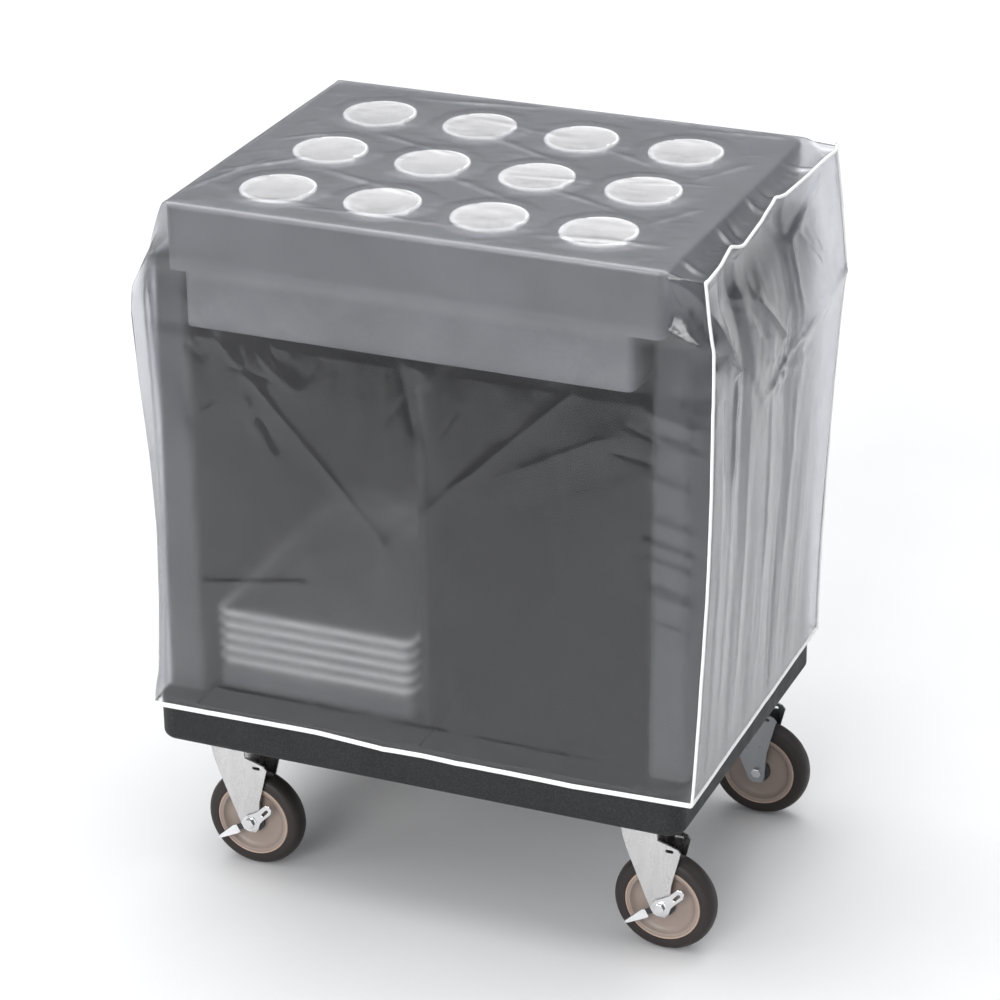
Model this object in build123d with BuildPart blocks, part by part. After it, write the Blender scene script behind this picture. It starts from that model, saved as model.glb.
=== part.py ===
# Covered tray and dish cart with a cutlery rack on top.
#
# Frame: millimetres, +Z up, origin on the floor under the middle of the cart.
# The open front of the cart faces -Y, +X is the cart's right-hand end.
# Each piece is its own solid, or a group of identical solids, and is written
# to parts/<name>.step.

from build123d import *
import os

os.makedirs("parts", exist_ok=True)

# ---------------------------------------------------------------- dimensions
# base
base_l, base_w = 816.0, 580.0        # 32 1/8 in by 22 7/8 in
base_z0, base_z1 = 225.0, 298.0      # underside and rim of the base
base_r = 28.0                        # plan corner radius
floor_z = 294.0                      # bottom of the two shallow bay recesses

# body
wall_in, wall_out = 345.0, 398.0     # inner and outer faces of the end walls
wall_y0, wall_y1 = -246.0, 280.0     # front and back edges of the end walls at the top
wall_foot_out, wall_foot_y0 = 404.0, -256.0   # the walls flare towards the base
wall_top = 967.0
back_y0, back_y1 = 262.0, 280.0      # back panel
back_top = 967.0
div_t = 16.0                         # centre divider thickness
div_y0 = -236.0                      # its front edge
div_top = 820.0

# cutlery rack
rack_l, rack_w = 732.0, 568.0        # upper band, outside
rack_top = 1063.0
band_z0 = 968.0                      # underside of the upper band
apron_l, apron_w = 662.0, 560.0      # lower apron, outside
apron_z0 = 886.0
rack_t = 5.0                         # moulding thickness
deck_x = 11.0                        # the band sits this far to the right
pitch_x, pitch_y = 158.0, 169.0      # cylinder grid
grid_x, grid_y = 8.0, -9.0           # centre of the cylinder grid
hole_r = 50.6

# cutlery cylinders
cup_rim_r = 55.0
cup_top_r = 49.8
cup_bot_r = 46.0
cup_t = 2.4
cup_h = 134.0
cup_z1 = rack_top + 4.3              # top of the rim; rim rests on the deck

# tray stack
tray_cx, tray_cy = -178.0, -25.0
tray_l, tray_w = 316.0, 406.0        # across the cart, front to back
tray_r = 18.0

# casters
caster_x, caster_y = 325.0, 209.0    # swivel axes
trail = 34.0
wheel_r = 76.2                       # 6 in wheel
wheel_w = 35.0
hub_r = 57.0
axle_r = 5.0
leg_in, leg_out = 20.0, 23.2         # inner and outer faces of a fork leg
crown_z0, crown_z1 = 199.0, 203.0

# cover
cov_t = 2.0                          # thickness the panels are drawn with
cov_y = 292.6                        # outer face of the front and back panels
cov_top = 1070.4                     # outer face of the top panel
hem_z = 281.0
end_profile = [(434.0, cov_top), (447.0, 940.0), (449.0, 800.0),
               (433.0, 560.0), (419.0, hem_z)]
pipe_r = 2.6

left_x, right_x = -1, 1


def save(solid, label):
    solid.label = label
    export_step(solid, "parts/" + label + ".step")
    print(f"{label:34s} {solid.volume / 1000.0:10.1f} cm3  solids {len(solid.solids())}")


# ---------------------------------------------------------------- base
with BuildPart() as base_platform:
    with BuildSketch(Plane.XY.offset(base_z0)):
        RectangleRounded(base_l, base_w, base_r)
    extrude(amount=base_z1 - base_z0)
    fillet(base_platform.faces().sort_by(Axis.Z)[0].edges(), radius=10.0)
    fillet(base_platform.faces().sort_by(Axis.Z)[-1].edges(), radius=7.0)
    # two shallow bay floors, one each side of the centre divider, open to the front
    for side in (left_x, right_x):
        with BuildSketch(Plane.XY.offset(base_z1)):
            with Locations((side * 176.0, -42.0)):
                RectangleRounded(326.0, 596.0, 20.0)
        extrude(amount=-(base_z1 - floor_z), mode=Mode.SUBTRACT)
    # hollow underside with a rim all round; the caster pads stay full depth
    with BuildSketch(Plane.XY.offset(base_z0)):
        RectangleRounded(base_l - 32.0, base_w - 32.0, base_r - 10.0)
        with GridLocations(2 * caster_x, 2 * caster_y, 2, 2):
            RectangleRounded(150.0, 128.0, 10.0, mode=Mode.SUBTRACT)
        for sx in (-1, 1):
            with Locations((sx * 370.0, caster_y), (sx * 370.0, -caster_y)):
                Rectangle(64.0, 128.0, mode=Mode.SUBTRACT)
            with Locations((sx * caster_x, 270.0), (sx * caster_x, -270.0)):
                Rectangle(150.0, 40.0, mode=Mode.SUBTRACT)
    extrude(amount=52.0, mode=Mode.SUBTRACT)
save(base_platform.part, "base_platform")

# ---------------------------------------------------------------- body walls
for side, label in ((left_x, "left_end_wall"), (right_x, "right_end_wall")):
    with BuildPart() as end_wall:
        with BuildSketch(Plane.XY.offset(base_z1)):
            with Locations((side * (wall_in + wall_foot_out) / 2, (wall_foot_y0 + wall_y1) / 2)):
                RectangleRounded(wall_foot_out - wall_in, wall_y1 - wall_foot_y0, 12.0)
        with BuildSketch(Plane.XY.offset(wall_top)):
            with Locations((side * (wall_in + wall_out) / 2, (wall_y0 + wall_y1) / 2)):
                RectangleRounded(wall_out - wall_in, wall_y1 - wall_y0, 12.0)
        loft()
        # finger recess moulded into the outer face, with a matching stiffening panel
        with BuildSketch(Plane.YZ.offset(side * (wall_out - 6.0))):
            with Locations((20.0, 610.0)):
                RectangleRounded(380.0, 520.0, 30.0)
        extrude(amount=side * 40.0, mode=Mode.SUBTRACT)
    save(end_wall.part, label)

with BuildPart() as back_panel:
    with BuildSketch(Plane.XY.offset(base_z1)):
        with Locations((0, (back_y0 + back_y1) / 2)):
            Rectangle(2 * wall_in - 0.4, back_y1 - back_y0)
    extrude(amount=apron_z0 - 2.0 - base_z1)
    fillet(back_panel.edges().filter_by(Axis.X).group_by(Axis.Z)[-1], radius=4.0)
save(back_panel.part, "back_panel")

with BuildPart() as center_divider:
    with BuildSketch(Plane.XY.offset(base_z1)):
        with Locations((0, (div_y0 + back_y0) / 2 - 0.1)):
            Rectangle(div_t, back_y0 - div_y0 - 0.2)
    extrude(amount=div_top - base_z1)
    fillet(center_divider.edges().filter_by(Axis.Z).group_by(Axis.Y)[0], radius=6.0)
    fillet(center_divider.edges().group_by(Axis.Z)[-1].filter_by(Axis.Y), radius=6.0)
save(center_divider.part, "center_divider")

# ---------------------------------------------------------------- cutlery rack
with BuildPart() as cutlery_rack:
    with BuildSketch(Plane.XY.offset(band_z0)):
        with Locations((deck_x, 0.0)):
            RectangleRounded(rack_l, rack_w, 16.0)
    extrude(amount=rack_top - band_z0)
    fillet(cutlery_rack.faces().sort_by(Axis.Z)[-1].edges(), radius=6.0)
    with BuildSketch(Plane.XY.offset(apron_z0)):
        RectangleRounded(apron_l, apron_w, 12.0)
    extrude(amount=band_z0 - apron_z0 + 1.0)
    # hollow from below: upper chamber inside the band, then the apron shell
    with BuildSketch(Plane.XY.offset(band_z0 + rack_t)):
        with Locations((deck_x, 0.0)):
            RectangleRounded(rack_l - 2 * rack_t, rack_w - 2 * rack_t, 11.0)
    extrude(amount=rack_top - rack_t - band_z0 - rack_t, mode=Mode.SUBTRACT)
    with BuildSketch(Plane.XY.offset(apron_z0)):
        RectangleRounded(apron_l - 2 * rack_t, apron_w - 2 * rack_t, 8.0)
    extrude(amount=band_z0 + rack_t - apron_z0, mode=Mode.SUBTRACT)
    with BuildSketch(Plane.XY.offset(rack_top)):
        with Locations((grid_x, grid_y)):
            with GridLocations(pitch_x, pitch_y, 4, 3):
                Circle(hole_r)
    extrude(amount=-2 * rack_t, mode=Mode.SUBTRACT)
save(cutlery_rack.part, "cutlery_rack")

# ---------------------------------------------------------------- cylinders
cup_index = 0
for row in range(3):
    for col in range(4):
        cup_index += 1
        cx = (col - 1.5) * pitch_x + grid_x
        cy = (row - 1) * pitch_y + grid_y
        with BuildPart() as cup:
            with BuildSketch(Plane.XZ.offset(-cy)):
                with BuildLine():
                    Polyline((cx, cup_z1 - cup_h),
                             (cx + cup_bot_r, cup_z1 - cup_h),
                             (cx + cup_top_r, cup_z1 - 4.0),
                             (cx + cup_rim_r, cup_z1 - 4.0),
                             (cx + cup_rim_r, cup_z1 - 0.8),
                             (cx + cup_rim_r - 0.8, cup_z1),
                             (cx + cup_top_r - cup_t, cup_z1),
                             (cx + cup_bot_r - cup_t, cup_z1 - cup_h + cup_t),
                             (cx, cup_z1 - cup_h + cup_t), close=True)
                make_face()
            revolve(axis=Axis((cx, cy, 0), (0, 0, 1)), revolution_arc=360)
        save(cup.part, f"cutlery_cylinder_{cup_index:02d}")


# ---------------------------------------------------------------- tray stack
def trays(count, z_first, pitch, depth, floor_inset, wall_inset, t):
    """Open trays on a common centre: floor, drafted or upright wall, flat rim."""
    with BuildPart() as group:
        for i in range(count):
            z0 = z_first + i * pitch
            with BuildSketch(Plane.XY.offset(z0)):
                with Locations((tray_cx, tray_cy)):
                    RectangleRounded(tray_l - 2 * floor_inset, tray_w - 2 * floor_inset, tray_r - 4)
            with BuildSketch(Plane.XY.offset(z0 + depth)):
                with Locations((tray_cx, tray_cy)):
                    RectangleRounded(tray_l - 2 * wall_inset, tray_w - 2 * wall_inset, tray_r - 3)
            loft()
            with BuildSketch(Plane.XY.offset(z0 + depth - t)):
                with Locations((tray_cx, tray_cy)):
                    RectangleRounded(tray_l, tray_w, tray_r)
            extrude(amount=t)
            with BuildSketch(Plane.XY.offset(z0 + t)):
                with Locations((tray_cx, tray_cy)):
                    RectangleRounded(tray_l - 2 * floor_inset - 2 * t,
                                     tray_w - 2 * floor_inset - 2 * t, tray_r - 6)
            with BuildSketch(Plane.XY.offset(z0 + depth)):
                with Locations((tray_cx, tray_cy)):
                    RectangleRounded(tray_l - 2 * wall_inset - 2 * t,
                                     tray_w - 2 * wall_inset - 2 * t, tray_r - 5)
            loft(mode=Mode.SUBTRACT)
    return group.part


# five thin grey trays nested on the bay floor, five deeper white ones on them
save(trays(5, floor_z + 0.4, 5.6, 8.4, 14.0, 4.0, 1.8), "grey_trays")
for i in range(5):
    save(trays(1, 326.0 + 19.0 * i, 19.0, 18.9, 5.0, 5.0, 2.2), f"white_tray_{i + 1:02d}")


# ---------------------------------------------------------------- casters
# name, swivel axis x, y, and whether the side lock brake is fitted
casters = (("front_left", -caster_x, -caster_y, True),
           ("front_right", caster_x, -caster_y, True),
           ("rear_left", -caster_x, caster_y, False),
           ("rear_right", caster_x, caster_y, False))

for name, sx, sy, braked in casters:
    wx = sx + trail
    # top plate, with the fixed race dished under it
    with BuildPart() as plate:
        with BuildSketch(Plane.XY.offset(base_z0 - 5.0)):
            with Locations((sx, sy)):
                RectangleRounded(114.0, 95.0, 8.0)
                with GridLocations(90.0, 71.0, 2, 2):
                    Circle(5.2, mode=Mode.SUBTRACT)
        extrude(amount=5.0)
        with BuildSketch(Plane.XZ.offset(-sy)):
            with BuildLine():
                Polyline((sx, base_z0 - 16.0), (sx + 27.0, base_z0 - 16.0),
                         (sx + 33.0, base_z0 - 12.0), (sx + 36.0, base_z0 - 4.5),
                         (sx, base_z0 - 4.5), close=True)
            make_face()
        revolve(axis=Axis((sx, sy, 0), (0, 0, 1)), revolution_arc=360)
        # king pin, riveted over under the crown
        with BuildSketch(Plane.XY.offset(base_z0 - 15.0)):
            with Locations((sx, sy)):
                Circle(8.0)
        extrude(amount=-(base_z0 - 15.0 - crown_z0 + 7.0))
        with BuildSketch(Plane.XY.offset(crown_z0 - 3.0)):
            with Locations((sx, sy)):
                Circle(12.0)
        extrude(amount=-5.0)
    save(plate.part, f"caster_{name}_plate")

    # fork: a round crown with a race lip, and two tapered legs
    with BuildPart() as fork:
        with BuildSketch(Plane.XY.offset(crown_z0)):
            with Locations((sx, sy)):
                Circle(38.0)
            with Locations((sx + 14.0, sy)):
                Rectangle(52.0, 2 * leg_out)
            with Locations((sx, sy)):
                Circle(8.06, mode=Mode.SUBTRACT)
        extrude(amount=crown_z1 - crown_z0)
        for s in (-1, 1):
            with BuildSketch(Plane.XZ.offset(-(sy + s * leg_out))):
                with BuildLine():
                    Polyline((sx - 28.0, crown_z1), (sx - 24.0, 178.0), (sx - 15.0, 152.0),
                             (sx + 13.0, 82.0), (sx + 21.0, 63.5), (sx + 28.0, 59.0),
                             (sx + 40.0, 59.0), (sx + 46.0, 65.0), (sx + 49.0, 112.0),
                             (sx + 63.0, 168.0), (sx + 58.0, 174.0), (sx + 28.0, 183.0),
                             (sx + 27.0, crown_z1), close=True)
                make_face()
                with Locations((wx, wheel_r)):
                    Circle(axle_r + 0.02, mode=Mode.SUBTRACT)
                with Locations((sx + 46.0, 169.0)):
                    SlotOverall(13.0, 5.0, mode=Mode.SUBTRACT)
            extrude(amount=s * (leg_out - leg_in))
    save(fork.part, f"caster_{name}_fork")

    # axle bolt: shank, hexagon head outside the front leg, nut outside the rear one
    lever_gap = 4.2 if braked else 0.0
    head_y = sy - leg_out - 0.05 - lever_gap
    with BuildPart() as axle:
        with BuildSketch(Plane.XZ.offset(-head_y)):
            with Locations((wx, wheel_r)):
                Circle(axle_r)
        extrude(amount=-(2 * leg_out + lever_gap + 5.0))
        with BuildSketch(Plane.XZ.offset(-head_y)):
            with Locations((wx, wheel_r)):
                RegularPolygon(8.4, 6)
        extrude(amount=5.2)
        with BuildSketch(Plane.XZ.offset(-(sy + leg_out + 0.05))):
            with Locations((wx, wheel_r)):
                RegularPolygon(8.4, 6)
        extrude(amount=-6.4)
        fillet(axle.faces().sort_by(Axis.Y)[0].edges(), radius=1.2)
    save(axle.part, f"caster_{name}_axle_bolt")

    # dished hub with a bearing boss
    hub_profile = [(axle_r + 0.06, 18.6), (17.0, 18.6), (19.0, 16.5), (21.0, 8.5),
                   (45.0, 8.5), (50.0, 15.0), (hub_r, 16.0)]
    with BuildPart() as hub:
        with BuildSketch(Plane.YZ.offset(wx)):
            with BuildLine():
                Polyline(*[(sy - y, wheel_r + r) for r, y in hub_profile],
                         *[(sy + y, wheel_r + r) for r, y in reversed(hub_profile)], close=True)
            make_face()
        revolve(axis=Axis((wx, sy, wheel_r), (0, 1, 0)), revolution_arc=360)
    save(hub.part, f"caster_{name}_hub")

    # tread with rounded shoulders
    half = wheel_w / 2
    with BuildPart() as tyre:
        with BuildSketch(Plane.YZ.offset(wx)):
            with BuildLine():
                Polyline((sy - half + 0.7, wheel_r + hub_r + 0.02), (sy - half, wheel_r + hub_r + 4.0),
                         (sy - half, wheel_r + 66.0))
                ThreePointArc((sy - half, wheel_r + 66.0), (sy - half + 4.2, wheel_r + 73.4),
                              (sy - 5.5, wheel_r + wheel_r))
                Line((sy - 5.5, wheel_r + wheel_r), (sy + 5.5, wheel_r + wheel_r))
                ThreePointArc((sy + 5.5, wheel_r + wheel_r), (sy + half - 4.2, wheel_r + 73.4),
                              (sy + half, wheel_r + 66.0))
                Polyline((sy + half, wheel_r + 66.0), (sy + half, wheel_r + hub_r + 4.0),
                         (sy + half - 0.7, wheel_r + hub_r + 0.02), (sy - half + 0.7, wheel_r + hub_r + 0.02))
            make_face()
        revolve(axis=Axis((wx, sy, wheel_r), (0, 1, 0)), revolution_arc=360)
    save(tyre.part, f"caster_{name}_tyre")

    if braked:
        # side lock lever: a long pressed tab and a short slotted arm on one pivot
        with BuildPart() as lever:
            lever_plane = Plane(origin=(wx, sy - leg_out - 0.5, wheel_r), x_dir=(0.87, 0, 0.493),
                                z_dir=(0, -1, 0))
            with BuildSketch(lever_plane):
                with BuildLine():
                    Polyline((-62.0, -1.0), (-56.0, -8.5), (-20.0, -8.0), (-8.0, -13.5), (10.0, -13.5),
                             (16.0, -5.5), (24.0, -3.0), (42.0, 2.0), (46.0, 9.0), (40.0, 17.0),
                             (22.0, 12.0), (10.0, 12.5), (-8.0, 9.5), (-20.0, 6.5), (-56.0, 4.5), close=True)
                make_face()
                Circle(axle_r + 0.05, mode=Mode.SUBTRACT)
                with Locations((32.0, 6.0)):
                    SlotOverall(14.0, 4.6, mode=Mode.SUBTRACT)
            extrude(amount=3.4)
        save(lever.part, f"caster_{name}_brake_lever")

with BuildPart() as caster_bolts:
    for name, sx, sy, braked in casters:
        with BuildSketch(Plane.XY.offset(base_z0 - 5.05)):
            with Locations((sx, sy)):
                with GridLocations(90.0, 71.0, 2, 2):
                    RegularPolygon(8.0, 6)
        extrude(amount=-5.5)
        with BuildSketch(Plane.XY.offset(base_z0 - 5.05)):
            with Locations((sx, sy)):
                with GridLocations(90.0, 71.0, 2, 2):
                    Circle(4.8)
        extrude(amount=5.0)
save(caster_bolts.part, "caster_mounting_bolts")

# ---------------------------------------------------------------- cover
# one long strip makes the front, top and back; two bowed end panels close it
inner_y = cov_y - cov_t - 0.02
with BuildPart() as cover_main:
    with BuildSketch(Plane.YZ.offset(-460.0)):
        strip_outline = [(-cov_y, hem_z), (-cov_y, cov_top), (cov_y, cov_top), (cov_y, hem_z),
                          (cov_y - cov_t, hem_z), (cov_y - cov_t, cov_top - cov_t),
                          (-cov_y + cov_t, cov_top - cov_t), (-cov_y + cov_t, hem_z)]
        with BuildLine():
            Polyline(*strip_outline, close=True)
        make_face()
    extrude(amount=920.0)
    with BuildSketch(Plane.XZ.offset(-cov_y - 1.0)):
        with BuildLine():
            Polyline(*[(x, z) for x, z in end_profile],
                     *[(-x, z) for x, z in reversed(end_profile)], close=True)
        make_face()
    extrude(amount=2 * cov_y + 2.0, mode=Mode.INTERSECT)
save(cover_main.part, "cover_main_panel")

for side, label in ((left_x, "cover_left_end"), (right_x, "cover_right_end")):
    with BuildPart() as end_panel:
        with BuildSketch(Plane.XZ.offset(inner_y)):
            with BuildLine():
                Polyline(*[(side * x, min(z, cov_top - cov_t - 0.02)) for x, z in end_profile],
                         *[(side * (x - cov_t), min(z, cov_top - cov_t - 0.02))
                           for x, z in reversed(end_profile)], close=True)
            make_face()
        extrude(amount=-2 * inner_y)
    save(end_panel.part, label)

# piping: a welt along each end seam, up the front, over the top and down the back,
# and a bound hem round the bottom
seam = [(x + 0.4, z) for x, z in end_profile]
for side, label in ((left_x, "cover_left_piping"), (right_x, "cover_right_piping")):
    with BuildPart() as pipe:
        for s in (-1, 1):
            y = s * (cov_y + 0.02 + pipe_r)
            with BuildLine() as path:
                Polyline(*[(side * x, y, z - 4.0 if z > 1000 else max(z, hem_z + 0.8)) for x, z in seam])
            with BuildSketch(Plane(origin=path.line @ 0, z_dir=path.line % 0)):
                Circle(pipe_r)
            sweep(path=path.line, transition=Transition.RIGHT)
        with BuildSketch(Plane.XZ.offset(-(cov_y + 0.02 + 2 * pipe_r))):
            with Locations((side * (seam[0][0] + pipe_r + 0.1), seam[0][1] - 1.6)):
                Circle(pipe_r)
        extrude(amount=2 * (cov_y + 0.02 + 2 * pipe_r))
    save(pipe.part, label)

hx, hy = end_profile[-1][0] + 1.0, cov_y + 1.0
with BuildPart() as hem:
    with BuildSketch(Plane.XY.offset(hem_z - 0.05)):
        RectangleRounded(2 * (hx + 2.0), 2 * (cov_y + 0.02 + 2 * pipe_r), 6.0)
        RectangleRounded(2 * (hx - 3.0), 2 * (hy - 3.0), 3.0, mode=Mode.SUBTRACT)
    extrude(amount=-5.0)
save(hem.part, "cover_hem_piping")
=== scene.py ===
import bpy
import bmesh
import math
import numpy as np
from mathutils import Matrix, Vector


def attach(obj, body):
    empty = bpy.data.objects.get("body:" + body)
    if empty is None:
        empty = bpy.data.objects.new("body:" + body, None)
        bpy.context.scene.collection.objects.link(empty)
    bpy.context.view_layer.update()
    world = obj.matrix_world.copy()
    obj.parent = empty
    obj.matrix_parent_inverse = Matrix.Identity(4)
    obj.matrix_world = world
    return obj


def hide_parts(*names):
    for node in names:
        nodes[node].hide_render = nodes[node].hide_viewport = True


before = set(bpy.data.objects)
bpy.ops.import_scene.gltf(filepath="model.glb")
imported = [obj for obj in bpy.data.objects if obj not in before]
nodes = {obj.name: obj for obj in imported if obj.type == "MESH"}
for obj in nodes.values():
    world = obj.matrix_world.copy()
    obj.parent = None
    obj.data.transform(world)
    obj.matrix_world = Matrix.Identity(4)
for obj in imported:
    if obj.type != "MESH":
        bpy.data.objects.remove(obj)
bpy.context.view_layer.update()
MM = 0.001
scene = bpy.context.scene

# ------------------------------------------------------------------ camera
AZ, EL, ROLL = math.radians(23.08), math.radians(24.99), math.radians(-0.75)
back = Vector((math.sin(AZ) * math.cos(EL), -math.cos(AZ) * math.cos(EL), math.sin(EL)))
right = (-back).cross(Vector((0, 0, 1))).normalized()
up = right.cross(-back)
r2 = right * math.cos(ROLL) + up * math.sin(ROLL)
u2 = -right * math.sin(ROLL) + up * math.cos(ROLL)
cam_data = bpy.data.cameras.new("camera")
cam_data.sensor_width = 36.0
cam_data.lens = 128.3
cam_data.clip_start, cam_data.clip_end = 0.1, 60.0
cam = bpy.data.objects.new("camera", cam_data)
scene.collection.objects.link(cam)
m = Matrix((r2, u2, back)).transposed().to_4x4()
m.translation = Vector((1.8623, -4.3245, 2.7475))
cam.matrix_world = m
scene.camera = cam
scene.view_settings.view_transform = "Standard"

# ------------------------------------------------------------------ light and floor
world = bpy.data.worlds.new("studio")
world.use_nodes = True
wt = world.node_tree
w_geo = wt.nodes.new("ShaderNodeTexCoord")
w_sep = wt.nodes.new("ShaderNodeSeparateXYZ")
w_ramp = wt.nodes.new("ShaderNodeValToRGB")
w_map = wt.nodes.new("ShaderNodeMapRange")
w_map.inputs["From Min"].default_value = -1.0
w_map.inputs["From Max"].default_value = 1.0
wt.links.new(w_geo.outputs["Generated"], w_sep.inputs[0])
wt.links.new(w_sep.outputs["Z"], w_map.inputs["Value"])
wt.links.new(w_map.outputs[0], w_ramp.inputs[0])
for k, (pos, col) in enumerate(((0.0, (0.34, 0.34, 0.35)), (0.47, (0.36, 0.36, 0.37)), (0.56, (0.20, 0.20, 0.22)),
                                (0.72, (0.27, 0.28, 0.30)), (0.86, (0.80, 0.82, 0.84)), (1.0, (1.15, 1.17, 1.20)))):
    e = w_ramp.color_ramp.elements[k] if k < 2 else w_ramp.color_ramp.elements.new(pos)
    e.position = pos
    e.color = (*col, 1)
wt.links.new(w_ramp.outputs[0], wt.nodes["Background"].inputs[0])
wt.nodes["Background"].inputs[1].default_value = 1.0
scene.world = world


def sun(name, source, strength, angle, color=(1, 1, 1)):
    d = bpy.data.lights.new(name, "SUN")
    d.energy = strength
    d.angle = math.radians(angle)
    d.color = color
    o = bpy.data.objects.new(name, d)
    scene.collection.objects.link(o)
    o.rotation_euler = (-Vector(source)).to_track_quat("-Z", "Y").to_euler()
    return o


sun("overhead_bank", (-0.15, 0.15, 1.0), 2.1, 60)
sun("front_bank", (-0.10, -1.0, 0.42), 1.88, 34)
sun("left_bank", (-1.0, -0.75, 0.62), 0.45, 34, (1.0, 0.985, 0.975))
sun("right_bank", (1.0, 0.15, 0.55), 0.25, 30, (0.94, 0.96, 1.0))

bpy.ops.mesh.primitive_plane_add(size=1, location=(0, 0, 0))
floor = bpy.context.object
floor.name = "floor"
for vert, (fx, fy) in zip(floor.data.vertices, ((-12, -2.3), (12, -2.3), (-12, 16), (12, 16))):
    vert.co = (fx, fy, 0)


# ------------------------------------------------------------------ materials
def new_mat(name):
    m = bpy.data.materials.new(name)
    m.use_nodes = True
    nt = m.node_tree
    nt.nodes.clear()
    out = nt.nodes.new("ShaderNodeOutputMaterial")
    b = nt.nodes.new("ShaderNodeBsdfPrincipled")
    nt.links.new(b.outputs[0], out.inputs[0])
    return m, nt, b


def coords(nt):
    return nt.nodes.new("ShaderNodeTexCoord").outputs["Object"]


def noise_tex(nt, vec, scale, detail=2.0, rough=0.5, stretch=None):
    if stretch:
        mp = nt.nodes.new("ShaderNodeMapping")
        mp.inputs["Scale"].default_value = stretch
        nt.links.new(vec, mp.inputs["Vector"])
        vec = mp.outputs[0]
    n = nt.nodes.new("ShaderNodeTexNoise")
    n.inputs["Scale"].default_value = scale
    n.inputs["Detail"].default_value = detail
    n.inputs["Roughness"].default_value = rough
    nt.links.new(vec, n.inputs["Vector"])
    return n.outputs[0]


def ramp(nt, fac, stops):
    r = nt.nodes.new("ShaderNodeValToRGB")
    while len(r.color_ramp.elements) < len(stops):
        r.color_ramp.elements.new(0.5)
    for e, (p, c) in zip(r.color_ramp.elements, stops):
        e.position = p
        e.color = (*c, 1) if len(c) == 3 else c
    nt.links.new(fac, r.inputs[0])
    return r.outputs[0]


def grey(v):
    return (v, v, v)


def bump(nt, b, height, strength, distance, chain=None):
    n = nt.nodes.new("ShaderNodeBump")
    n.inputs["Strength"].default_value = strength
    n.inputs["Distance"].default_value = distance
    nt.links.new(height, n.inputs["Height"])
    if chain is not None:
        nt.links.new(chain, n.inputs["Normal"])
    nt.links.new(n.outputs[0], b.inputs["Normal"])
    return n.outputs[0]


def moulded(name, dark, light, rough=0.55, spec=0.3):
    """Rotomoulded plastic: granite speckle, orange-peel skin, slightly scuffed sheen."""
    m, nt, b = new_mat(name)
    v = coords(nt)
    fleck = noise_tex(nt, v, 620, 3.0, 0.65)
    col = ramp(nt, fleck, [(0.0, dark), (0.47, dark), (0.60, tuple(0.5 * (a + c) for a, c in zip(dark, light))),
                           (0.70, light), (1.0, light)])
    blotch = noise_tex(nt, v, 9, 2.0, 0.5)
    mix = nt.nodes.new("ShaderNodeMix")
    mix.data_type = "RGBA"
    mix.blend_type = "MULTIPLY"
    mix.inputs[0].default_value = 1.0
    nt.links.new(col, mix.inputs[6])
    nt.links.new(ramp(nt, blotch, [(0.3, grey(0.86)), (0.7, grey(1.06))]), mix.inputs[7])
    nt.links.new(mix.outputs[2], b.inputs["Base Color"])
    nt.links.new(ramp(nt, noise_tex(nt, v, 35, 3.0), [(0.3, grey(rough - 0.06)), (0.7, grey(rough + 0.08))]),
                 b.inputs["Roughness"])
    b.inputs["Specular IOR Level"].default_value = spec
    n1 = bump(nt, b, noise_tex(nt, v, 950, 2.0), 0.22, 0.0004)
    bump(nt, b, noise_tex(nt, v, 140, 2.0), 0.12, 0.0008, n1)
    return m


mat_body = moulded("moulded_charcoal", (0.010, 0.0105, 0.011), (0.046, 0.047, 0.049))
mat_wall = moulded("moulded_wall", (0.115, 0.115, 0.120), (0.20, 0.20, 0.21))
mat_inner = moulded("moulded_inner", (0.016, 0.017, 0.018), (0.036, 0.037, 0.039))
mat_rack = moulded("rack_grey", (0.275, 0.276, 0.284), (0.40, 0.402, 0.41))


def plastic(name, color, rough, vary=0.04, grain=300.0, bump_s=0.08, spec=None):
    m, nt, b = new_mat(name)
    v = coords(nt)
    lo, hi = tuple(c * (1 - vary) for c in color), tuple(min(1, c * (1 + vary)) for c in color)
    nt.links.new(ramp(nt, noise_tex(nt, v, 14, 4.0, 0.6), [(0.3, lo), (0.7, hi)]), b.inputs["Base Color"])
    nt.links.new(ramp(nt, noise_tex(nt, v, 60, 3.0), [(0.3, grey(max(0.02, rough - 0.05))), (0.7, grey(rough + 0.06))]),
                 b.inputs["Roughness"])
    b.inputs["Specular IOR Level"].default_value = 0.5 if spec is None else spec
    bump(nt, b, noise_tex(nt, v, grain, 3.0), bump_s, 0.0003)
    return m


mat_cup = plastic("white_plastic", (0.955, 0.95, 0.945), 0.34, 0.02)
nt = mat_cup.node_tree
b = next(n for n in nt.nodes if n.type == "BSDF_PRINCIPLED")
sep = nt.nodes.new("ShaderNodeSeparateXYZ")
nt.links.new(coords(nt), sep.inputs[0])
lip = nt.nodes.new("ShaderNodeMapRange")        # painted glow: the cups emit light, 0.29 over the body and 0.60 at the rim top, standing in for light that comes through the thin translucent walls from outside
lip.inputs["From Min"].default_value = 1.0615
lip.inputs["From Max"].default_value = 1.0635
lip.inputs["To Min"].default_value = 0.29
lip.inputs["To Max"].default_value = 0.60
nt.links.new(sep.outputs["Z"], lip.inputs["Value"])
nt.links.new(lip.outputs[0], b.inputs["Emission Strength"])
b.inputs["Emission Color"].default_value = (1.0, 0.985, 0.975, 1)
mat_tray_w = plastic("tray_white", (0.86, 0.86, 0.85), 0.38, 0.03)
nt = mat_tray_w.node_tree
b = next(n for n in nt.nodes if n.type == "BSDF_PRINCIPLED")
base_col = b.inputs["Base Color"].links[0].from_socket
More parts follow.
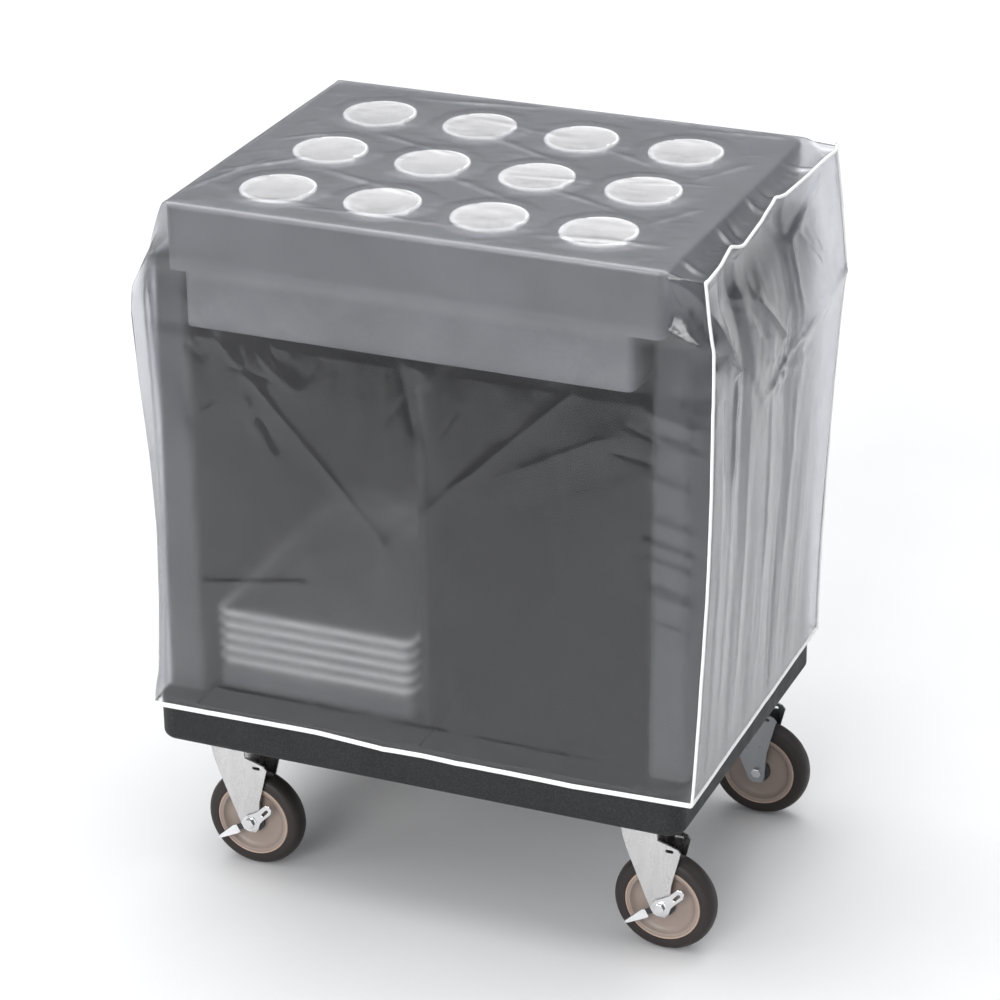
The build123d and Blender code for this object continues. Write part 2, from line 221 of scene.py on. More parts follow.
# painted shade: in each 19 mm band the tray wall below the white rim is darkened to 0.16-0.22 of the base colour,
# standing in for the shade under the rims
sep = nt.nodes.new("ShaderNodeSeparateXYZ")
nt.links.new(coords(nt), sep.inputs[0])
m1 = nt.nodes.new("ShaderNodeMath")
m1.operation = "MULTIPLY_ADD"
m1.inputs[1].default_value = 1 / 0.019
m1.inputs[2].default_value = -0.326 / 0.019
nt.links.new(sep.outputs["Z"], m1.inputs[0])
m2 = nt.nodes.new("ShaderNodeMath")
m2.operation = "FRACT"
nt.links.new(m1.outputs[0], m2.inputs[0])
tray_wall_shade_mix = nt.nodes.new("ShaderNodeMix")
tray_wall_shade_mix.data_type = "RGBA"
tray_wall_shade_mix.blend_type = "MULTIPLY"
tray_wall_shade_mix.inputs[0].default_value = 1.0
nt.links.new(base_col, tray_wall_shade_mix.inputs[6])
nt.links.new(ramp(nt, m2.outputs[0], [(0.0, grey(0.16)), (0.48, grey(0.22)), (0.66, grey(1.0)), (1.0, grey(1.0))]), tray_wall_shade_mix.inputs[7])
nt.links.new(tray_wall_shade_mix.outputs[2], b.inputs["Base Color"])
mat_tray_g = plastic("tray_grey", (0.26, 0.268, 0.277), 0.45, 0.05)
mat_hub = plastic("hub_taupe", (0.262, 0.210, 0.182), 0.40, 0.05, 420, 0.10)
mat_rim = plastic("hub_rim_line", (0.42, 0.31, 0.245), 0.42, 0.04, 420, 0.08)
mat_seal = plastic("bearing_seal", (0.022, 0.022, 0.024), 0.42, 0.10)
mat_tyre = plastic("tread_rubber", (0.027, 0.022, 0.021), 0.46, 0.12, 500, 0.22, 0.25)
mat_bind = plastic("white_binding", (0.90, 0.90, 0.90), 0.36, 0.03, 800, 0.25)


def metal(name, color, rough, streak=(1, 1, 1), bump_s=0.10):
    m, nt, b = new_mat(name)
    v = coords(nt)
    b.inputs["Metallic"].default_value = 1.0
    lo, hi = tuple(c * 0.90 for c in color), tuple(min(1, c * 1.04) for c in color)
    nt.links.new(ramp(nt, noise_tex(nt, v, 45, 5.0, 0.6, streak), [(0.3, lo), (0.7, hi)]), b.inputs["Base Color"])
    nt.links.new(ramp(nt, noise_tex(nt, v, 90, 4.0, 0.6, streak),
                      [(0.3, grey(rough * 0.7)), (0.7, grey(rough * 1.35))]), b.inputs["Roughness"])
    n1 = bump(nt, b, noise_tex(nt, v, 260, 3.0, 0.5, streak), bump_s, 0.0003)
    bump(nt, b, noise_tex(nt, v, 28, 2.0), 0.20, 0.0010, n1)
    return m


mat_zinc = metal("bright_zinc", (0.60, 0.59, 0.59), 0.27, (1, 1, 0.25))
mat_chrome = metal("lever_chrome", (0.74, 0.74, 0.75), 0.13, (1, 1, 1), 0.05)
mat_plate = metal("zinc_plate", (0.55, 0.56, 0.57), 0.34)
mat_greyzinc = metal("grey_zinc", (0.40, 0.415, 0.43), 0.36, (1, 1, 0.3))

# frosted semi-clear vinyl: thin closed sheet, rough transmission, fine embossing
mat_vinyl, nt, b = new_mat("clear_vinyl")
v = coords(nt)
b.inputs["Transmission Weight"].default_value = 1.0
b.inputs["IOR"].default_value = 1.41
b.inputs["Coat Weight"].default_value = 0.30
b.inputs["Coat Roughness"].default_value = 0.09
b.inputs["Coat IOR"].default_value = 1.5
nt.links.new(ramp(nt, noise_tex(nt, v, 8, 3.0), [(0.3, (0.875, 0.88, 0.90)), (0.7, (0.915, 0.92, 0.935))]),
             b.inputs["Base Color"])
nt.links.new(ramp(nt, noise_tex(nt, v, 22, 4.0), [(0.3, grey(0.215)), (0.7, grey(0.265))]), b.inputs["Roughness"])
# painted shade: in the pocket of folded cloth behind the front right corner the specular level is turned down, so the
# cloth there reads dark in place of the shade
dist = nt.nodes.new("ShaderNodeVectorMath")
dist.operation = "DISTANCE"
dist.inputs[1].default_value = (0.445, -0.165, 0.955)
nt.links.new(v, dist.inputs[0])
pocket_spec_shade = ramp(nt, dist.outputs["Value"], [(0.08, grey(0.05)), (0.17, grey(0.15)), (0.30, grey(0.5)), (1.0, grey(0.5))])
nt.links.new(pocket_spec_shade, b.inputs["Specular IOR Level"])
n1 = bump(nt, b, noise_tex(nt, v, 620, 2.0), 0.06, 0.0003)
bump(nt, b, noise_tex(nt, v, 70, 3.0, 0.6), 0.07, 0.0010, n1)

# painted shade: the two end sheets get a darker base colour than the strip (0.855), darkest (0.54) in the pocket beside
# the front right corner, where their specular level is turned down too
mat_vinyl_end = mat_vinyl.copy()
mat_vinyl_end.name = "clear_vinyl_ends"
nt = mat_vinyl_end.node_tree
b = next(n for n in nt.nodes if n.type == "BSDF_PRINCIPLED")
dist = next(n for n in nt.nodes if n.type == "VECT_MATH" and n.operation == "DISTANCE")
dist.inputs[1].default_value = (0.435, -0.060, 0.940)
end_shade_mix = nt.nodes.new("ShaderNodeMix")
end_shade_mix.data_type = "RGBA"
end_shade_mix.blend_type = "MULTIPLY"
end_shade_mix.inputs[0].default_value = 1.0
base_from = b.inputs["Base Color"].links[0].from_socket
shade = ramp(nt, dist.outputs["Value"], [(0.05, (0.54, 0.54, 0.57)), (0.20, (0.855, 0.855, 0.885)), (1.0, (0.855, 0.855, 0.885))])
nt.links.new(base_from, end_shade_mix.inputs[6])
nt.links.new(shade, end_shade_mix.inputs[7])
nt.links.new(end_shade_mix.outputs[2], b.inputs["Base Color"])

# floor
mat_floor, nt, b = new_mat("floor_white")
v = coords(nt)
nt.links.new(ramp(nt, noise_tex(nt, v, 3, 2.0), [(0.2, grey(0.67)), (0.8, grey(0.70))]), b.inputs["Base Color"])
b.inputs["Roughness"].default_value = 0.5
floor.data.materials.append(mat_floor)


def paint(obj, mat):
    obj.data.materials.clear()
    obj.data.materials.append(mat)


def soften(obj, width=0.0008, segments=2):
    mod = obj.modifiers.new("edge", "BEVEL")
    mod.width = width
    mod.segments = segments
    mod.limit_method = "ANGLE"
    mod.angle_limit = math.radians(40)
    mod.harden_normals = False
    wn = obj.modifiers.new("normals", "WEIGHTED_NORMAL")
    wn.keep_sharp = True


def smooth(obj, angle=35):
    me = obj.data
    me.shade_smooth()
    me.set_sharp_from_angle(angle=math.radians(angle))


cad_look = {"base_platform": mat_body, "left_end_wall": mat_wall, "right_end_wall": mat_wall,
            "back_panel": mat_inner, "center_divider": mat_inner, "cutlery_rack": mat_rack,
            "grey_trays": mat_tray_g, "caster_mounting_bolts": mat_plate}
for i in range(1, 6):
    cad_look[f"white_tray_{i:02d}"] = mat_tray_w
CASTERS = (("front_left", -0.325, -0.209, True), ("front_right", 0.325, -0.209, True),
           ("rear_left", -0.325, 0.209, False), ("rear_right", 0.325, 0.209, False))
for name, cx, cy, braked in CASTERS:
    cad_look[f"caster_{name}_plate"] = mat_plate
    cad_look[f"caster_{name}_fork"] = mat_zinc if braked else mat_greyzinc
    cad_look[f"caster_{name}_axle_bolt"] = mat_chrome
    cad_look[f"caster_{name}_tyre"] = mat_tyre
    cad_look[f"caster_{name}_hub"] = mat_hub
    if braked:
        cad_look[f"caster_{name}_brake_lever"] = mat_chrome
for name, mat in cad_look.items():
    if name in nodes:
        paint(nodes[name], mat)
for name in cad_look:
    if name in nodes and ("fork" in name or "lever" in name or "bolt" in name or "plate" in name):
        soften(nodes[name], 0.0007, 2)


# ------------------------------------------------------------------ mesh helpers
def mesh_obj(name, verts, faces, mat, smooth_angle=None):
    me = bpy.data.meshes.new(name)
    me.from_pydata([tuple(p) for p in verts], [], faces)
    me.update()
    o = bpy.data.objects.new(name, me)
    scene.collection.objects.link(o)
    me.materials.append(mat)
    me.shade_smooth()
    if smooth_angle:
        me.set_sharp_from_angle(angle=math.radians(smooth_angle))
    return o


def lathe(name, profile, centre, axis, mat, n=72, closed=False, angle=30):
    """Turns (radius, along) points about an axis through centre; axis is 'Y' or 'Z'."""
    verts, faces = [], []
    k = len(profile)
    for i in range(n):
        a = 2 * math.pi * i / n
        for r, h in profile:
            if axis == "Z":
                verts.append((centre[0] + r * math.cos(a), centre[1] + r * math.sin(a), centre[2] + h))
            else:
                verts.append((centre[0] + r * math.cos(a), centre[1] + h, centre[2] + r * math.sin(a)))
    for i in range(n):
        j = (i + 1) % n
        for p in range(k if closed else k - 1):
            q = (p + 1) % k
            faces.append((i * k + p, i * k + q, j * k + q, j * k + p))
    o = mesh_obj(name, verts, faces, mat)
    bm = bmesh.new()
    bm.from_mesh(o.data)
    bmesh.ops.remove_doubles(bm, verts=bm.verts, dist=1e-7)
    bmesh.ops.recalc_face_normals(bm, faces=bm.faces)
    bm.to_mesh(o.data)
    bm.free()
    o.data.shade_smooth()
    o.data.set_sharp_from_angle(angle=math.radians(angle))
    return o


def vnoise(x, y, seed=0.0):
    """Smooth value noise on a unit lattice, -1 to 1."""
    ix, iy = np.floor(x), np.floor(y)
    fx, fy = x - ix, y - iy
    fx, fy = fx * fx * fx * (fx * (fx * 6 - 15) + 10), fy * fy * fy * (fy * (fy * 6 - 15) + 10)

    def h(a, c):
        s = np.sin(a * 127.1 + c * 311.7 + seed * 74.7) * 43758.5453
        return (s - np.floor(s)) * 2 - 1

    return ((h(ix, iy) * (1 - fx) + h(ix + 1, iy) * fx) * (1 - fy)
            + (h(ix, iy + 1) * (1 - fx) + h(ix + 1, iy + 1) * fx) * fy)


def sstep(a, c, x):
    t = np.clip((x - a) / (c - a), 0, 1)
    return t * t * (3 - 2 * t)


def seg_dist(x, y, a, c):
    """Signed distance to the line through a and c, and the position along it, 0 at a and 1 at c."""
    dx, dy = c[0] - a[0], c[1] - a[1]
    n = math.hypot(dx, dy)
    t = ((x - a[0]) * dx + (y - a[1]) * dy) / (n * n)
    return ((x - a[0]) * dy - (y - a[1]) * dx) / n, t


def crease(x, y, a, c, height, width, fade=0.12):
    """A sharp ridge along a line, dying away past its ends."""
    d, t = seg_dist(x, y, a, c)
    ends = sstep(-fade, fade * 0.5, t) * (1 - sstep(1 - fade * 0.5, 1 + fade, t))
    return height * np.exp(-np.abs(d) / width) * ends


def fold(x, y, a, c, height, width, skew=0.35, fade=0.25):
    """A soft fold: steep on one side and gentle on the other."""
    d, t = seg_dist(x, y, a, c)
    ends = sstep(-fade, fade, t) * (1 - sstep(1 - fade, 1 + fade, t))
    w = np.where(d > 0, width * (1 - skew), width * (1 + skew))
    return height * np.exp(-(d / w) ** 2) * ends


# ------------------------------------------------------------------ cover
P = np.interp
RX = 378.5      # where the cover leaves the right-hand edge of the rack


def xr(z):      # right front seam
    return P(z, [283, 452, 605, 754, 869, 968, 1002, 1058], [424, 433, 440.5, 444, 444, 443, 438, 432])


def xb(z):      # right back seam
    return P(z, [283, 433, 566, 696, 808, 883, 960, 1052], [414, 417, 423, 430, 438, 445, 437, 425])


def xl(z):      # left silhouette fold of the front and back panels
    return -P(z, [283, 330, 452, 564, 673, 794, 899, 938, 985, 1032, 1064], [410.5, 402, 394.5, 391, 396, 407, 414, 410, 385, 360, 356.8])


def xl_end(z):  # left end panel
    return -P(z, [283, 452, 564, 673, 794, 900, 938, 967, 1000, 1064], [413, 404, 402.5, 404, 407, 410, 406, 401.5, 378, 358.0])


def x_top(y):   # right top seam
    return P(y, [-283, -215, -150, -132, -118, -30, 50, 62, 76, 150, 240, 285], [432, 428, 419, 423, 425.5, 421, 413, 414.5, 418, 422, 423, 425])


def z_top(y):
    return P(y, [-283, -215, -150, -132, -118, -30, 50, 62, 76, 150, 240, 285], [1057, 1057.5, 1058.5, 1052, 1050, 1054, 1058.5, 1056, 1054, 1054, 1053, 1051])


def hem_z(x):
    return P(x, [-410, -151, -43, 20, 71, 150, 248, 350, 424], [283.5, 287, 281.0, 282.5, 281.2, 281.6, 280.8, 284, 286])


def front_disp(x, z):
    """How far the front panel stands off its plane; positive is outward."""
    free = 1 - sstep(878, 900, z)
    d = np.zeros_like(x)
    # storage creases: a vertical one, a V, and lighter verticals
    d += crease(x, z, (-22, 1030), (-32, 604), 0.9, 4.5, 0.02) * (0.45 + 0.55 * free)
    d += crease(x, z, (-32, 604), (-43, 283), 2.6, 7, 0.03)
    d += crease(x, z, (-334, 932), (-32, 604), 1.7, 5.5, 0.03) * (0.35 + 0.65 * free)
    d += crease(x, z, (288, 916), (-32, 604), 1.5, 6, 0.05) * (0.35 + 0.65 * free)
    d += crease(x, z, (-148, 640), (-156, 275), 2.0, 5, 0.10)
    d += crease(x, z, (80, 640), (71, 275), 1.9, 5.5, 0.10)
    d += crease(x, z, (250, 560), (246, 275), 1.4, 6, 0.12)
    d += crease(x, z, (-336, 700), (-324, 285), 1.7, 4, 0.12)
    d += crease(x, z, (-372, 985), (368, 985), 0.5, 4, 0.02)
    d += crease(x, z, (-326, 493), (-166, 522), 0.9, 4, 0.10)
    d += crease(x, z, (172, 752), (288, 815), 0.8, 4, 0.10)
    d += crease(x, z, (112, 697), (240, 742), 0.7, 4, 0.10)
    # short crinkles
    for k in range(44):
        h1, h2, h3, h4 = [math.sin(k * q + p) for q, p in ((12.9898, 0.3), (78.233, 1.1), (37.719, 2.7), (93.989, 0.9))]
        cx, cz = -300 + 330 * (0.5 + 0.5 * h1) + (330 if k % 3 == 0 else 0), 600 + 280 * h2 * (0.9 if k % 2 else 0.6)
        ang, ln = 1.2 + 1.3 * h3, 16 + 15 * abs(h4)
        if 330 < cz < 872:
            d += crease(x, z, (cx - ln * math.cos(ang), cz - ln * math.sin(ang)), (cx + ln * math.cos(ang), cz + ln * math.sin(ang)),
                        0.8 * (1 if h4 > 0 else -1), 3.2, 0.35)
    for a, c in (((-250, 880), (-238, 830)), ((-232, 872), (-205, 832)), ((-206, 884), (-190, 846)), ((-262, 838), (-205, 826)),
                 ((-180, 905), (-160, 868)), ((-4, 880), (10, 790)), ((14, 870), (30, 770)), ((-322, 880), (-300, 850)),
                 ((-330, 862), (-306, 842)), ((330, 838), (372, 822)), ((300, 800), (362, 790))):
        d += crease(x, z, a, c, -1.2, 4.0, 0.2)
    # soft dents
    for a, c, hh, w in (((-236, 890), (-170, 840), -1.8, 15), ((-215, 860), (-150, 800), 1.4, 16),
                        ((-4, 880), (18, 770), -1.6, 15), ((30, 900), (60, 700), 1.6, 24),
                        ((-218, 770), (-196, 720), -1.8, 10), ((-240, 790), (-226, 735), 1.4, 10),
                        ((-200, 600), (-60, 470), 1.6, 22), ((-170, 560), (-90, 440), -1.5, 18),
                        ((40, 560), (90, 430), -1.8, 22), ((10, 600), (60, 480), 1.4, 24),
                        ((110, 700), (330, 830), 0.9, 24), ((160, 690), (330, 780), -0.7, 20),
                        ((-330, 488), (-160, 515), 1.3, 9), ((-345, 820), (-330, 740), -1.6, 9),
                        ((120, 480), (210, 330), 1.7, 26), ((170, 430), (230, 300), -1.5, 20),
                        ((300, 520), (360, 330), 1.5, 24)):
        d += fold(x, z, a, c, hh, w) * (0.2 + 0.8 * free)
    # short shiny ripples along the right seam
    for zz, hh in ((855, 2.2), (832, -1.8), (760, 1.6), (700, 2.0), (678, -2.0), (640, 2.2), (612, -1.8), (590, 2.4),
                   (560, -1.8), (520, 1.8), (480, -1.6), (440, 1.6), (400, -1.4), (350, 1.4)):
        d += fold(x, z, (352, zz + 8), (425, zz - 10), 0.6 * hh, 7.5, 0.3, 0.15)
    d += fold(x, z, (366, 880), (362, 320), 2.2, 9, 0.1, 0.1)
    # gentle unevenness
    d += free * (0.8 * vnoise(x / 85, z / 120, 3) + 0.5 * vnoise(x / 34, z / 60, 5) + 0.16 * vnoise(x / 13, z / 22, 8))
    d += (1 - free) * (0.14 * vnoise(x / 16, z / 40, 11) + 0.07 * vnoise(x / 7, z / 16, 12))
    # the lower edge lies close to the base
    return d * (0.30 + 0.70 * sstep(283, 350, z))


def corner_pleat(x, z):
    """The tucked triangle beside the rack's front right corner; negative is inward."""
    d = np.zeros_like(x)
    out = sstep(RX + 1, RX + 8, x)
    d += -11.0 * out * np.exp(-((z - 1012) / 26.0) ** 2) * (1 - sstep(405, 434, x))
    d += crease(x, z, (384, 985), (440, 962), 5.0, 5, 0.05) * out
    d += crease(x, z, (380, 1060), (408, 1008), 3.6, 5, 0.05)
    d += crease(x, z, (408, 1008), (436, 975), 2.6, 6, 0.05)
    d += crease(x, z, (382, 1012), (408, 1030), 2.2, 4, 0.05)
    d += crease(x, z, (380, 1062), (432, 1030), 2.4, 4, 0.05)
    return d


def base_front_y(z):
    return -P(z, [276, 292, 330, 600, 874, 888, 962, 972, 1058, 1066], [291.6, 291.0, 289.2, 287.2, 284.2, 281.9, 282.4, 285.4, 285.6, 285.0])


def main_strip(front_rows, top_rows, back_rows, n_left, n_mid, n_right):
    rows = []

    def row_front(z, sgn):
        """One level of the front (sgn -1) or back (sgn 1) panel, from the left seam to the right."""
        t = np.linspace(0, 1, n_left + 1)[:-1]
        xf, xe = xl(z), xl_end(z)
        drop = P(z, [283, 700, 800, 940, 1064], [0, 0, 12, 50, 116])
        zl = np.full_like(t, z) - drop * (1 - t) ** 1.0
        xe_low = xl_end(z - drop)
        xs = xe_low + (xf - xe_low) * t
        ys = sgn * (250 + 36 * np.sin(t * math.pi / 2) ** 1.0)
        mid = np.linspace(0, 1, n_mid + 1)[:-1]
        edge = RX
        xm = xf + (edge - xf) * mid
        rt = np.linspace(0, 1, n_right + 1)
        seam = xr(z) if sgn < 0 else xb(z)
        xq = edge + (seam - edge) * rt
        x = np.concatenate([xs, xm, xq])
        base = -base_front_y(z)
        y = np.concatenate([ys, np.full(n_mid, base), np.full(n_right + 1, base)])
        zz = np.concatenate([zl, np.full(n_mid + n_right + 1, z)])
        return x, y * 1.0, zz

    zf = np.linspace(283, 1062, front_rows)
    for z in zf:
        x, y, zz = row_front(z, -1)
        y = np.where(np.arange(len(x)) < n_left, -np.abs(y), -y)
        on = np.arange(len(x)) >= n_left - 2
        fade = 1 - sstep(0.80, 1.0, np.where(x > RX, (x - RX) / max(xr(z) - RX, 1), 0))
        dd = front_disp(x, zz) * (0.25 + 0.75 * fade) + corner_pleat(x, zz) * fade
        dd = dd * sstep(0, 8, np.arange(len(x)) - (n_left - 3))
        lim = np.where(z < 300, 0.0, -3.5)
        dd = np.maximum(dd, np.where((x < RX + 3) & (z > 880), -0.35, -30.0))
        y = np.where(on, y - dd, y)
        if z < 330:
            y = np.where(on & (np.abs(x) < 409), np.minimum(y, -290.9), y)
        k = sstep(330, 283, np.full_like(x, z)) if z < 330 else np.zeros_like(x)
        hz = hem_z(x)
        zz = zz + (hz - 283) * (1 - sstep(283, 360, zz))
        rows.append(np.stack([x, y, zz], 1))
    # rounded top front edge, top, rounded top back edge
    yt = np.concatenate([[-284.6], np.linspace(-281, 281, top_rows), [284.6]])
    for y0 in yt:
        t = np.linspace(0, 1, n_left + 1)[:-1]
        zs = P(abs(y0), [0, 150, 215, 286], [992, 990, 975, 948])
        z_l = zs + (1063.5 - zs) * t
        x_l = xl_end(z_l) - 1.0 * np.sin(t * math.pi)
        y_l = np.full_like(t, y0) * P(np.full_like(t, abs(y0)), [0, 215, 286], [1, 1, 1])
        if abs(y0) > 250:
            y_l = y_l * (1 - 0.10 * (1 - t))
        x_m = np.linspace(-356.5, RX, n_mid + 1)[:-1]
        rt = np.linspace(0, 1, n_right + 1)
        x_q = RX + (x_top(y0) - RX) * rt
        z_edge = 1066.2 if abs(y0) < 284 else 1064.4
        z_q = 1065.6 + (z_top(y0) - 1065.6) * rt ** 1.0 - 6.0 * np.sin(rt * math.pi) * (abs(y0) < 284)
        x = np.concatenate([x_l, x_m, x_q])
        z = np.concatenate([z_l, np.full(n_mid, z_edge), z_q])
        y = np.concatenate([y_l, np.full(n_mid + n_right + 1, y0)])
        rows.append(np.stack([x, y, z], 1))
    for z in np.linspace(1062, 283, back_rows):
        x, y, zz = row_front(z, 1)
        y = np.abs(y)
        on = np.arange(len(x)) >= n_left - 2
        dd = front_disp(-x * 0.9 + 20, zz) * 0.6
        dd = dd * sstep(0, 8, np.arange(len(x)) - (n_left - 3)) * (1 - sstep(350, 420, x))
        dd = np.maximum(dd, np.where((x < RX + 3) & (z > 880), -0.35, -30.0))
        y = np.where(on, y + dd, y)
        if z < 330:
            y = np.where(on & (np.abs(x) < 409), np.maximum(y, 290.9), y)
        rows.append(np.stack([x, y, zz], 1))
    return np.array(rows)


def top_disp(g, n_left, n_mid, f0, f1):
    """Wrinkles, sags between the cylinder rims and radiating pulls on the top; changes g in place."""
    x, y, z = g[f0:f1, :, 0], g[f0:f1, :, 1], g[f0:f1, :, 2]
    inside = sstep(0, 1, (366 - np.abs(x - 11)) / 18.0) * sstep(0, 1, (284 - np.abs(y)) / 14.0)
    on_rim = np.zeros_like(x)
    sag = np.zeros_like(x)
    for r in range(3):
        for c in range(4):
            cx, cy = (c - 1.5) * 158.0 + 8, (r - 1) * 169.0 - 9
            rad = np.hypot(x - cx, y - cy)
            on_rim = np.maximum(on_rim, 1 - sstep(60, 84, rad))
            sag += -0.9 * np.exp(-(rad / 30.0) ** 2)
    d = 1.9 * on_rim + sag
    w = 0.55 * vnoise(x / 40 + y / 160, y / 22, 21) + 0.30 * vnoise(x / 17, y / 13, 22)
    lines = (((-186, 240), (10, 262), 1.8, 7), ((-90, 244), (60, 268), -1.4, 6), ((-345, -225), (-300, -90), 1.5, 5),
             ((-330, -140), (-250, -60), 1.6, 7), ((-310, 10), (-240, 60), 1.8, 7), ((-330, 60), (-210, 40), -1.3, 7),
             ((-180, 70), (-70, 30), 1.9, 7), ((-190, -95), (-60, -140), 1.8, 7), ((-20, -60), (80, -110), 1.7, 7),
             ((-20, 110), (80, 60), 1.7, 7), ((150, 120), (230, 80), 1.6, 7), ((140, -60), (240, -100), 1.5, 7),
             ((197, -222), (330, -206), 2.2, 7), ((-160, -236), (40, -232), 1.3, 6), ((300, -130), (345, -50), 1.4, 7),
             ((300, 60), (355, 150), 1.3, 7), ((-250, -240), (-150, -225), 1.2, 6), ((60, -20), (150, -10), 1.2, 6),
             ((230, 10), (330, 40), 1.1, 6), ((-60, 180), (60, 150), 1.4, 7), ((230, 250), (350, 262), 1.2, 6))
    for a, c, hh, ww in lines:
        w += fold(x, y, a, c, hh, ww, 0.4, 0.3)
    d += w * (1 - 0.55 * on_rim) + 0.25 * np.abs(w)
    d = np.maximum(d, 0.15) * inside
    # the slack beyond the rack's right edge is pulled into small pleats
    t = np.clip((x - RX) / 46.0, 0, 1)
    env = np.sin(np.clip(t, 0, 1) * math.pi) * (x > RX)
    yy = y + 14 * vnoise(y / 60, t * 2, 31)
    pl = 0.7 * vnoise(yy / 30 + 0.5 * t, t * 1.5, 33) + 0.28 * vnoise(yy / 8, t * 2, 34)
    for a, c, hh, ww in (((379, 24), (416, -10), 4, 5), ((379, 70), (414, 58), -3, 6), ((379, -96), (424, -136), 4, 5),
                         ((379, -60), (423, -104), -3, 5), ((379, 170), (422, 190), 3, 6), ((379, -230), (430, -262), 3.4, 6)):
        pl += fold(x, y, a, c, hh, ww, 0.3, 0.2)
    d += pl * env
    z += d
    # and the hanging left part waves a little
    left = (x < -358).astype(float)
    x -= left * (1.2 * vnoise(y / 30, z / 40, 36)) * 0.6
    g[f0:f1, :, 0], g[f0:f1, :, 2] = x, z


NL, NM, NR = ((16, 236, 24))
FR, TR, BR = ((228, 166, 112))
G = main_strip(FR, TR, BR, NL, NM, NR)
top_disp(G, NL, NM, FR, FR + TR + 2)


def relax(g, times, mask):
    """Averages each point with its neighbours where mask is above 0."""
    for _ in range(times):
        a = g.copy()
        a[1:-1, 1:-1] = (g[:-2, 1:-1] + g[2:, 1:-1] + g[1:-1, :-2] + g[1:-1, 2:]) / 4
        g[:] = g + (a - g) * mask[..., None]


mask = np.zeros(G.shape[:2])
mask[:, 1:NL + 4] = 0.6
mask[FR - 3:FR + 3, :] = 0.35
mask[FR + TR - 1:FR + TR + 5, :] = 0.35
relax(G, 4, mask)


def grid_faces(n, k, flip=False):
    f = []
    for i in range(n - 1):
        for j in range(k - 1):
            q = (i * k + j, i * k + j + 1, (i + 1) * k + j + 1, (i + 1) * k + j)
            f.append(q[::-1] if flip else q)
    return f


def sheet_obj(name, g, flip, thickness=0.0005):
    n, k = g.shape[:2]
    o = mesh_obj(name, g.reshape(-1, 3) * MM, grid_faces(n, k, flip), mat_vinyl)
    mod = o.modifiers.new("thickness", "SOLIDIFY")
    mod.thickness = thickness
    mod.offset = 0
    mod.use_rim = True
    return o


cover_main = sheet_obj("cover_main_sheet", G, False)


# right end panel: edges follow the seams of the main strip
def resample(line, n):
    d = np.r_[0, np.cumsum(np.linalg.norm(np.diff(line, axis=0), axis=1))]
    s = np.linspace(0, d[-1], n)
    return np.stack([np.interp(s, d, line[:, i]) for i in range(3)], 1)


def end_panel(front, top, back_, n_h, n_w, disp, side):
    """front and back_ run upwards from the hem, top runs from front to back."""
    F, T, Bk = resample(front, n_h), resample(top, n_w), resample(back_, n_h)
    bottom = np.linspace(F[0], Bk[0], n_w)
    g = np.zeros((n_h, n_w, 3))
    for i in range(n_h):
        s = i / (n_h - 1)
        for j in range(n_w):
            t = j / (n_w - 1)
            g[i, j] = ((1 - t) * F[i] + t * Bk[i] + (1 - s) * bottom[j] + s * T[j]
                       - ((1 - s) * (1 - t) * F[0] + (1 - s) * t * Bk[0] + s * (1 - t) * F[-1] + s * t * Bk[-1]))
    y, z = g[..., 1], g[..., 2]
    s, t = np.meshgrid(np.linspace(0, 1, n_h), np.linspace(0, 1, n_w), indexing="ij")
    fade = sstep(0, 0.03, t) * (1 - sstep(0.97, 1, t)) * (1 - sstep(0.965, 1, s)) * (0.35 + 0.65 * sstep(0, 0.06, s))
    g[..., 0] += side * disp(y, z) * fade
    return g


